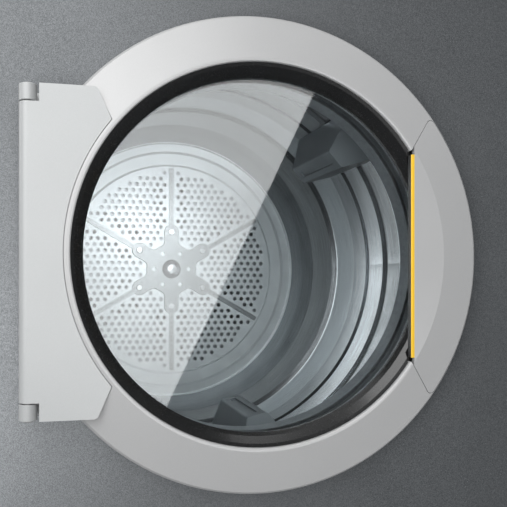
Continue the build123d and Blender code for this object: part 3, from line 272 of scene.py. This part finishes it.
def painted_band_light(s):
    """The tone of the drum's bands along its length: painted highlights and painted shade, band by band."""
    low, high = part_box("drum_shell")
    depth = s.node("SeparateXYZ", {0: s.place}).outputs["Y"]
    ramp = s.node("ValToRGB", {"Fac": s.remap(depth, low=0.0, high=1.0, start=low.y, end=high.y)})
    bands = ramp.color_ramp
    bands.interpolation = "CONSTANT"
    start = 0.0
    for index, (end, tone) in enumerate(drum_band_light):
        stop = bands.elements[0] if index == 0 else bands.elements.new(start)
        stop.color = grey(tone)
        start = end
    bands.elements[-1].color = grey(drum_band_light[-1][1])
    return s.node("SeparateColor", {0: ramp.outputs["Color"]}).outputs[0]


def drum_steel(name):
    """Stainless drum wall: bands painted light and dark along its length as highlights and shade, rolling
    streaks and a speckled grain.
    """
    s = Shader(name)
    # painted highlights and painted shade in bands along the drum's length
    band_light = painted_band_light(s)
    fine = s.noise(scale=900.0, detail=4.0)
    rolled = s.noise(scale=60.0, detail=5.0, stretch=(0.25, 6.0, 0.25))
    broad = s.noise(scale=14.0, detail=4.0)
    speckle = s.add(s.remap(fine, low=-0.20, high=0.20), s.remap(rolled, low=-0.10, high=0.10))
    dark, light = grey(0.015, (0.92, 1.0, 1.08)), grey(0.36, (0.95, 1.0, 1.04))
    s.set(
        Base_Color=s.blend(s.add(band_light, speckle, clamp=True), dark, light),
        Roughness=s.remap(broad, low=0.20, high=0.27),
        Metallic=1.0,
        Normal=s.bump(fine, strength=0.30, distance=0.0003, normal=s.bump(rolled, 0.04, 0.0004)),
    )
    return s.material


strip_yellow_depth = 0.0009  # how far the strip's yellow reaches back from its front; behind that its sides are painted dark grey as shade
strip_shade_fade = 0.0001


def grip_strip(name):
    """Yellow along the strip's front, and painted shade, a dark grey, on its sides behind it."""
    s = Shader(name)
    fine = s.noise(scale=1200.0, detail=2.0)
    depth = s.node("SeparateXYZ", {0: s.place}).outputs["Y"]
    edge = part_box("handle_strip")[0].y + strip_yellow_depth
    # the strip's sides behind its yellow front are painted dark grey as shade
    painted_side_shade = s.remap(depth, low=0.0, high=1.0, start=edge, end=edge + strip_shade_fade)
    s.set(
        Base_Color=s.blend(painted_side_shade, (0.84, 0.52, 0.03, 1.0), grey(0.03)),
        Roughness=s.remap(fine, low=0.30, high=0.40),
        Normal=s.bump(fine, strength=0.10, distance=0.0002),
    )
    return s.material


# ---------------------------------------------------------------- materials of the CAD nodes
def dress(material, *names):
    """Gives CAD nodes one material."""
    for name in names:
        mesh = nodes[name].data
        mesh.materials.clear()
        mesh.materials.append(material)


def dress_outside():
    """Painted sheets, and the control panel's plastic."""
    base, flake = grey(0.085, (0.94, 1.0, 1.05)), grey(0.17, (0.96, 1.0, 1.04))
    panel = grain_paint("panel_grey", base, flake, roughness=0.50, metallic=0.62)
    dress(panel, "front_panel", "plinth_panel", "side_panel_left", "side_panel_right", "worktop")
    tray = grain_paint("tray_paint", grey(0.05), grey(0.09), roughness=0.5, metallic=0.2)
    dress(tray, "base_tray", "bearing_housing")
    black = moulded("fascia_black", grey(0.022), roughness=0.40, texture=0.30, scale=1100.0)
    dress(black, "control_fascia", "lint_drawer", "mains_inlet", "door_magnet")
    display = moulded("display_black", grey(0.006), roughness=0.10, texture=0.02, scale=500.0, coat=0.5)
    dress(display, "display_window")
    knob = satin_silver("knob_silver", grey(0.33), roughness=0.42, metallic=0.3)
    dress(knob, "program_knob", "start_button", "stop_button")


def dress_door():
    """The door, its hinge and its seals."""
    silver = satin_silver("ring_silver", grey(0.425), roughness=0.36, metallic=0.15)
    dress(silver, "door_ring", "handle_plate")
    cast = satin_silver("hinge_silver", grey(0.43, (0.98, 1.0, 1.0)), roughness=0.36, metallic=0.12)
    dress(cast, "hinge_plate", "hinge_bracket_lower", "hinge_bracket_upper")
    bezel = moulded("bezel_black", grey(0.006), roughness=0.22, texture=0.04, scale=700.0, coat=0.2)
    dress(bezel, "door_bezel")
    dress(grip_strip("grip_strip"), "handle_strip")
    dress(clear_glass("door_glass"), "door_glass")
    dress(rubber("seal_rubber"), "glass_gasket", "door_seal", "foot_pads")
    dress(moulded("nylon", grey(0.62, (1.0, 0.98, 0.92)), roughness=0.4, texture=0.1), "hinge_bushes")


def dress_drum():
    """The drum, its back with the star, and the lifters."""
    dress(drum_steel("drum_wall"), "drum_shell")
    dark, light = grey(0.66, (0.98, 1.0, 1.01)), grey(0.80, (0.99, 1.0, 1.0))
    plate = steel("drum_plate", dark, light, roughness=0.46, scale=800.0, speck=0.4)
    dress(plate, "drum_back")
    dark, light = grey(0.27, (0.98, 1.0, 1.01)), grey(0.40, (0.99, 1.0, 1.0))
    dress(steel("star_steel", dark, light, roughness=0.38, scale=800.0), "drum_star")
    lift = moulded("lifter_grey", grey(0.24, (0.93, 1.0, 1.06)), roughness=0.34, texture=0.15, scale=1000.0)
    dress(lift, "lifter_1", "lifter_2", "lifter_3")


def dress_works():
    """Fittings, ducts and the driving parts."""
    bright = steel("plated_steel", grey(0.45), grey(0.66), roughness=0.26, scale=1200.0)
    dress(
        bright, "hinge_pins", "hinge_screws", "door_screws", "door_pan", "catch_plate", "star_bolts",
        "drum_shaft", "roller_axles", "motor_shaft", "foot_studs", "lint_screen", "idler_arm",
    )
    zinc = galvanised("zinc_sheet")
    dress(
        zinc, "back_panel", "front_bulkhead", "rear_bulkhead", "heater_housing", "exhaust_duct", "lint_duct",
    )
    dress(rubber("belt_rubber", 0.015), "drive_belt")
    black = moulded("part_black", grey(0.03), roughness=0.5, texture=0.4)
    dress(black, "roller_left", "roller_right", "fan_wheel", "idler_pulley")
    dress(moulded("scroll_grey", grey(0.08), roughness=0.55, texture=0.4), "fan_housing")
    dress(steel("motor_alloy", grey(0.34), grey(0.50), roughness=0.45, scale=500.0), "motor_body")
    dark, light = (0.10, 0.085, 0.08, 1.0), (0.20, 0.17, 0.15, 1.0)
    dress(steel("hot_steel", dark, light, roughness=0.42, scale=600.0), "heater_element")
    dress(felt("felt"), "felt_seal")


# ---------------------------------------------------------------- small trim
def lathe(mesh, profile, centre, along, steps=24):
    """Adds a turned shape about a line through centre and returns its corners.

    The profile is (radius, distance along the line), and a radius of 0 closes an end.
    """
    turn = Vector((0, 0, 1)).rotation_difference(Vector(along))
    rings = []
    for radius, reach in profile:
        angles = [2 * math.pi * i / steps for i in range(steps if radius else 1)]
        points = [Vector((radius * math.cos(a), radius * math.sin(a), reach)) for a in angles]
        rings.append([mesh.verts.new(Vector(centre) + turn @ point) for point in points])
    for first, second in zip(rings, rings[1:]):
        for i in range(steps):
            j = (i + 1) % steps
            near = (first[i % len(first)], first[j % len(first)])
            far = (second[j % len(second)], second[i % len(second)])
            mesh.faces.new(list(dict.fromkeys(near + far)))
    return [corner for ring in rings for corner in ring]


def prism(mesh, outline, centre, depth):
    """Adds a flat shape that faces the front: outline is (x, z) about centre, and it is depth thick."""
    front = [mesh.verts.new((centre[0] + x, centre[1] - depth, centre[2] + z)) for x, z in outline]
    rear = [mesh.verts.new((centre[0] + x, centre[1], centre[2] + z)) for x, z in outline]
    mesh.faces.new(front)
    mesh.faces.new(rear[::-1])
    for i in range(len(outline)):
        j = (i + 1) % len(outline)
        mesh.faces.new((front[i], rear[i], rear[j], front[j]))


bar_end_steps = 8  # straight pieces in a bar's half-round end


def bar(length, width, angle=0.0, start=0.0):
    """Outline of a bar with round ends, from start outwards along a heading in radians above +X."""
    half, ends = width / 2, []
    for middle, turn in ((start + length - half, -0.5), (start + half, 0.5)):
        for i in range(bar_end_steps + 1):
            a = math.pi * (turn + i / bar_end_steps)
            ends.append((middle + half * math.cos(a), half * math.sin(a)))
    c, k = math.cos(angle), math.sin(angle)
    return [(x * c - z * k, x * k + z * c) for x, z in ends]


smooth_below = math.radians(35)  # a piece's edges stay sharp above this angle


def make_piece(name, mesh, material, body, bevel=0.0):
    """Turns a built mesh into an object that rides on a body."""
    bmesh.ops.recalc_face_normals(mesh, faces=mesh.faces)
    data = bpy.data.meshes.new(name)
    mesh.to_mesh(data)
    mesh.free()
    data.materials.append(material)
    data.shade_smooth()
    data.set_sharp_from_angle(angle=smooth_below)
    piece = bpy.data.objects.new(name, data)
    bpy.context.scene.collection.objects.link(piece)
    if bevel:
        edge = piece.modifiers.new("edge", "BEVEL")
        edge.width = bevel
        edge.segments = 2
        edge.limit_method = "ANGLE"
    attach(piece, body)


tick_count = 12
tick_circle = 0.0285  # where the dial's ticks start, from the knob's axis
tick_size = (0.0035, 0.0009)
mark_rise = 0.0002  # how far printed marks stand out
mark_bevel = 0.0001
pointer_reach = (0.0062, 0.0208)
pointer_width = 0.0022
pointer_base = 0.0011  # how far behind the knob's face the pointer starts
pointer_depth = 0.0009


def make_knob_marks():
    """The knob's pointer, and the ticks round it on the fascia."""
    white = moulded("mark_white", grey(0.66), roughness=0.5, texture=0.15, scale=1500.0)
    fascia_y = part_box("control_fascia")[0].y
    knob_low, knob_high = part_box("program_knob")
    knob = (knob_low + knob_high) / 2
    pointer = bmesh.new()
    start, end = pointer_reach
    outline = bar(end - start, pointer_width, math.pi / 2, start)
    prism(pointer, outline, (knob.x, knob_low.y + pointer_base, knob.z), pointer_depth)
    make_piece("knob_pointer", pointer, white, "knob", mark_bevel)
    ticks = bmesh.new()
    for i in range(tick_count):
        outline = bar(*tick_size, 2 * math.pi * i / tick_count, tick_circle)
        prism(ticks, outline, (knob.x, fascia_y + mark_rise, knob.z), 2 * mark_rise)
    make_piece("dial_ticks", ticks, white, "cabinet")


symbol_radius = 0.0032  # of the start triangle's corners
stop_half = 0.75 * symbol_radius  # half the stop square's side
symbol_base = 0.0012  # how far behind the button's front a symbol starts
symbol_depth = 0.0008


def make_button_symbols():
    """A triangle on the start button and a square on the stop button."""
    dark = moulded("mark_dark", grey(0.02), roughness=0.5, texture=0.15, scale=1500.0)
    thirds = (0.0, 2 * math.pi / 3, 4 * math.pi / 3)
    triangle = [(symbol_radius * math.cos(a), symbol_radius * math.sin(a)) for a in thirds]
    square = [(stop_half * x, stop_half * z) for x, z in ((-1, -1), (1, -1), (1, 1), (-1, 1))]
    for body, node, outline in (("start", "start_button", triangle), ("stop", "stop_button", square)):
        low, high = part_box(node)
        symbol = bmesh.new()
        place = ((low.x + high.x) / 2, low.y + symbol_base, (low.z + high.z) / 2)
        prism(symbol, outline, place, symbol_depth)
        make_piece(body + "_symbol", symbol, dark, body, mark_bevel)


bar_count = 7
bar_pitch = 0.011
bar_width = 0.0026
bar_shortest = 0.008
bar_growth = 0.001  # each bar is this much longer than the last
bars_below_middle = 0.008  # where the bars stand, below the window's middle


def make_display_bars():
    """A row of growing bars on the display window."""
    low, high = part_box("display_window")
    bars, middle = bmesh.new(), (low + high) / 2
    first_x = middle.x - bar_pitch * (bar_count - 1) / 2
    for i in range(bar_count):
        outline = bar(bar_shortest + bar_growth * i, bar_width, math.pi / 2)
        place = (first_x + bar_pitch * i, low.y + mark_rise, middle.z - bars_below_middle)
        prism(bars, outline, place, 1.5 * mark_rise)
    ice = moulded("display_ice", grey(0.55, (0.75, 1.0, 1.1)), roughness=0.3, texture=0.1)
    make_piece("display_bars", bars, ice, "cabinet")


# Profiles of turned trim: (radius, height above the sheet or the knuckle)
screw_flange = ((0, -0.001), (0.0062, -0.001), (0.0062, 0.0006), (0.005, 0.0011), (0, 0.0011))
screw_head = (  # a hexagon, dished on top
    (0, 0.0010), (0.0042, 0.0010), (0.0042, 0.0034), (0.0036, 0.0040), (0.0026, 0.0040), (0.002, 0.0034),
    (0, 0.0034),
)
hinge_cap = ((0, -0.001), (0.0072, -0.001), (0.0072, 0.0006), (0.006, 0.0012), (0, 0.0015))
hinge_cap_steps = 32


def add_screw(mesh, place, facing):
    """A hexagon screw with a round flange, its head dished."""
    lathe(mesh, screw_flange, place, facing)
    lathe(mesh, screw_head, place, facing, steps=6)


rib_heights = (0.24, 0.37, 0.50, 0.63)  # above the floor
rib_half_length = 0.285
rib_half_width = 0.007
rib_rise = 0.0026  # how far a rib stands out of the back panel
rib_sink = 0.0004  # how far the rib's middle lies inside the panel's face
rib_end = ((0.0, 0.0), (0.6, 0.002), (1.0, 0.008))  # (share of the half width, distance from the tip)


def make_back_ribs():
    """Pressed ribs across the back panel: turned bars, flattened against it."""
    back_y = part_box("back_panel")[1].y
    ribs = bmesh.new()
    left = [(rib_half_width * share, from_tip - rib_half_length) for share, from_tip in rib_end]
    right = [(radius, -reach) for radius, reach in reversed(left)]
    for height in rib_heights:
        for point in lathe(ribs, left + right, (0.0, 0.0, 0.0), (1.0, 0.0, 0.0)):
            y = back_y - rib_sink + point.co.y * rib_rise / rib_half_width
            point.co = Vector((point.co.x, y, height + point.co.z))
    make_piece("back_ribs", ribs, galvanised("rib_zinc"), "cabinet")


screw_inset = 0.012  # of the back's screws from its sides and its top
screw_end_inset = 0.03  # of the first and the last screw of a side column from the panel's ends
column_screws = 6
top_gaps = 4  # equal parts into which the top row's screws divide the width between the columns


def make_back_screws():
    """Flanged screws down both sides of the back panel and along its top."""
    low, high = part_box("back_panel")
    screws = bmesh.new()
    left, right = low.x + screw_inset, high.x - screw_inset
    column = high.z - low.z - 2 * screw_end_inset
    for x in (left, right):
        for i in range(column_screws):
            z = low.z + screw_end_inset + i * column / (column_screws - 1)
            add_screw(screws, (x, high.y, z), (0, 1, 0))
    for i in range(1, top_gaps):
        add_screw(screws, (left + i * (right - left) / top_gaps, high.y, high.z - screw_inset), (0, 1, 0))
    plated = steel("screw_steel", grey(0.40), grey(0.62), roughness=0.30, scale=1200.0)
    make_piece("back_screws", screws, plated, "cabinet")


foot_radius = 0.020
foot_rib_heights = (0.0045, 0.0080, 0.0115)
foot_rib_steps = 36
foot_rib = (  # its closed section: (radius, height about the rib's middle)
    (0.0185, -0.0010), (0.0205, -0.0010), (0.0214, 0), (0.0205, 0.0010), (0.0185, 0.0010), (0.0185, -0.0010),
)
weld_distance = 0.00001  # joins the section's first and last rings


def make_foot_ribs():
    """Grip ribs round the four rubber feet."""
    low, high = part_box("foot_pads")
    ribs = bmesh.new()
    for x in (low.x + foot_radius, high.x - foot_radius):
        for y in (low.y + foot_radius, high.y - foot_radius):
            for height in foot_rib_heights:
                lathe(ribs, foot_rib, (x, y, height), (0, 0, 1), foot_rib_steps)
    bmesh.ops.remove_doubles(ribs, verts=ribs.verts, dist=weld_distance)
    make_piece("foot_ribs", ribs, rubber("foot_rubber"), "cabinet")


def make_hinge_caps():
    """Domed caps on the outer ends of the two hinge knuckles."""
    low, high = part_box("hinge_pins")
    x, y = (low.x + high.x) / 2, (low.y + high.y) / 2
    caps = bmesh.new()
    for node, end, up in (("hinge_bracket_upper", 1, 1), ("hinge_bracket_lower", 0, -1)):
        lathe(caps, hinge_cap, (x, y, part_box(node)[end].z), (0, 0, up), hinge_cap_steps)
    silver = satin_silver("cap_silver", grey(0.46), roughness=0.32, metallic=0.3)
    make_piece("hinge_caps", caps, silver, "cabinet")


# ---------------------------------------------------------------- stage and light
floor_reach = 6.0  # from the middle to each edge


def make_floor():
    """A plain pale floor, left out of reflections."""
    mesh = bpy.data.meshes.new("floor")
    corners = [(floor_reach * x, floor_reach * y, 0) for x, y in ((-1, -1), (1, -1), (1, 1), (-1, 1))]
    mesh.from_pydata(corners, [], [(0, 1, 2, 3)])
    floor = bpy.data.objects.new("floor", mesh)
    bpy.context.scene.collection.objects.link(floor)
    s = Shader("floor_pale")
    cloud = s.noise(scale=3.0, detail=4.0)
    s.set(Base_Color=s.blend(s.remap(cloud, low=0.0, high=1.0), grey(0.70), grey(0.76)), Roughness=0.6)
    mesh.materials.append(s.material)
    floor.visible_glossy = False


def place_lamp(name, place, target, size, power, colour=(1.0, 1.0, 1.0), roll=0.0):
    """A soft rectangular studio lamp that looks at a point, unseen by the camera."""
    data = bpy.data.lights.new(name, "AREA")
    data.shape = "RECTANGLE"
    data.size, data.size_y = size
    data.energy = power
    data.color = colour
    lamp = bpy.data.objects.new(name, data)
    bpy.context.scene.collection.objects.link(lamp)
    lamp.visible_camera = False
    lamp.location = place
    facing = (Vector(target) - lamp.location).to_track_quat("-Z", "Y")
    lamp.rotation_euler = (facing @ Quaternion((0.0, 0.0, 1.0), roll)).to_euler()
    return lamp


def share_light(lamp, names, state):
    """Limits what a lamp lights: only these CAD nodes or the floor (INCLUDE), or all but these (EXCLUDE)."""
    receivers = bpy.data.collections.new(lamp.name + "_receivers")
    for name in names:
        receivers.objects.link(nodes.get(name) or bpy.data.objects[name])
    lamp.light_linking.receiver_collection = receivers
    for item in receivers.collection_objects:
        item.light_linking.link_state = state


softbox_y = -2.0  # both softboxes stand in this plane, behind the camera
softbox_edge = 0.33  # x of the big softbox's right edge
softbox_size = (3.2, 3.6)
softbox_foot = 0.02  # height of its lower edge
softbox_radiance = 2.4
glass_edge_top = (0.804, 0.773)  # two points of the leaning edge, (x, height above the door's axis)
glass_edge_low = (0.204, -0.462)
glass_box_size = (3.0, 4.4)
glass_box_radiance = 4.4


def make_softbox():
    """The big upright softbox left of the camera, which lights all but the glass and the floor."""
    width, height = softbox_size
    power = softbox_radiance * math.pi * width * height
    place = (softbox_edge - width / 2, softbox_y, height / 2 + softbox_foot)
    lamp = place_lamp("softbox", place, (place[0], 0.0, place[2]), softbox_size, power)
    share_light(lamp, ["door_glass", "floor"], "EXCLUDE")


def make_glass_box():
    """A leaning softbox that only the glass reflects; its right edge is the diagonal across the door."""
    width, height = glass_box_size
    (top_x, top_z), (low_x, low_z) = glass_edge_top, glass_edge_low
    lean = math.atan2(top_x - low_x, top_z - low_z)
    x = (top_x + low_x) / 2 - width / 2 * math.cos(lean)
    z = axis.z + (top_z + low_z) / 2 + width / 2 * math.sin(lean)
    power = glass_box_radiance * math.pi * width * height
    lamp = place_lamp("glass_box", (x, softbox_y, z), (x, 0.0, z), glass_box_size, power, roll=-lean)
    share_light(lamp, ["door_glass"], "INCLUDE")


drum_lamps = (  # name, place from the door's axis (x, z), size, watts, and whether it lights only the back
    ("back_lamp", (-0.02, 0.15), (0.24, 0.04), 0.58, True),
    ("wall_lamp_top", (0.09, 0.15), (0.14, 0.02), 0.45, False),
    ("wall_lamp_left", (-0.17, 0.03), (0.02, 0.16), 0.40, False),
)
drum_lamp_depth = 0.06  # behind the front panel's face
drum_lamp_target_y = 0.15
drum_lamp_cross = (0.3, 0.6)  # how far past the axis a lamp aims, in shares of its own offset
drum_lamp_colour = (0.90, 0.96, 1.0)
glint_place = (0.10, 0.17, -0.02)  # x from the axis, y, and height above the axis
glint_target = (0.25, -0.15, -0.18)  # low on the drum wall, measured the same way
glint_size = (0.10, 0.08)
glint_power = 0.12


def make_drum_lamps():
    """Small lamps in the throat, one of them for the back plate alone, and one for a glint on the wall."""
    back = ["drum_back", "drum_star", "star_bolts", "drum_shaft", "heater_housing", "rear_bulkhead"]
    lifters = ["lifter_1", "lifter_2", "lifter_3"]
    cross_x, cross_z = drum_lamp_cross
    for name, (x, z), size, power, on_back in drum_lamps:
        place = (axis.x + x, panel_y + drum_lamp_depth, axis.z + z)
        target = (axis.x - cross_x * x, drum_lamp_target_y, axis.z - cross_z * z)
        lamp = place_lamp(name, place, target, size, power, drum_lamp_colour)
        share_light(lamp, back if on_back else back + lifters, "INCLUDE" if on_back else "EXCLUDE")
    place, target = [(axis.x + x, y, axis.z + z) for x, y, z in (glint_place, glint_target)]
    glint = place_lamp("glint", place, target, glint_size, glint_power)
    share_light(glint, ["drum_shell"], "INCLUDE")


room_middle = (axis.x, 0.0, axis.z)
front_lamps = (  # name, place, target, size, watts, and the only nodes it lights, or None for all
    ("key", (-1.0, -1.5, 1.75), room_middle, (1.3, 1.3), 9.0, None),
    (
        "low_fill", (-0.70, -1.10, 0.16), (-0.28, panel_y, 0.08), (0.6, 0.3), 8.5,
        ["front_panel", "plinth_panel"],
    ),
)
room_lamps = (
    ("top", (0.0, 0.3, 2.8), room_middle, (3.0, 3.0), 42.0, None),
    ("back", (0.8, 2.4, 1.6), room_middle, (1.8, 1.8), 30.0, None),
    ("side", (-2.6, 0.9, 1.5), (0.0, 0.1, 0.5), (1.6, 1.6), 22.0, None),
    ("side", (2.6, 0.9, 1.5), (0.0, 0.1, 0.5), (1.6, 1.6), 22.0, None),
    (
        "ring_fill", (0.35, -1.4, 0.10), (0.08, face_y, axis.z - 0.2), (0.8, 0.3), 3.0,
        ["door_ring", "handle_plate", "hinge_plate"],
    ),
)
world_colour = (0.88, 0.94, 1.0, 1.0)
world_strength = 0.16


def place_lamps(rows):
    """Places the lamps of one table."""
    for name, place, target, size, power, only in rows:
        lamp = place_lamp(name, place, target, size, power)
        if only:
            share_light(lamp, only, "INCLUDE")


def make_world():
    """A dim even studio round the object, under the Standard view transform."""
    bpy.context.scene.view_settings.view_transform = "Standard"
    world = bpy.data.worlds.new("studio")
    bpy.context.scene.world = world
    world.use_nodes = True
    background = world.node_tree.nodes["Background"]
    background.inputs["Color"].default_value = world_colour
    background.inputs["Strength"].default_value = world_strength


def make_light():
    """Soft light, strongest from the left of the front."""
    make_world()
    make_softbox()
    make_glass_box()
    place_lamps(front_lamps)
    make_drum_lamps()
    place_lamps(room_lamps)


make_camera()
dress_outside()
dress_door()
dress_drum()
dress_works()
make_knob_marks()
make_button_symbols()
make_display_bars()
make_back_ribs()
make_back_screws()
make_foot_ribs()
make_hinge_caps()
make_floor()
make_light()
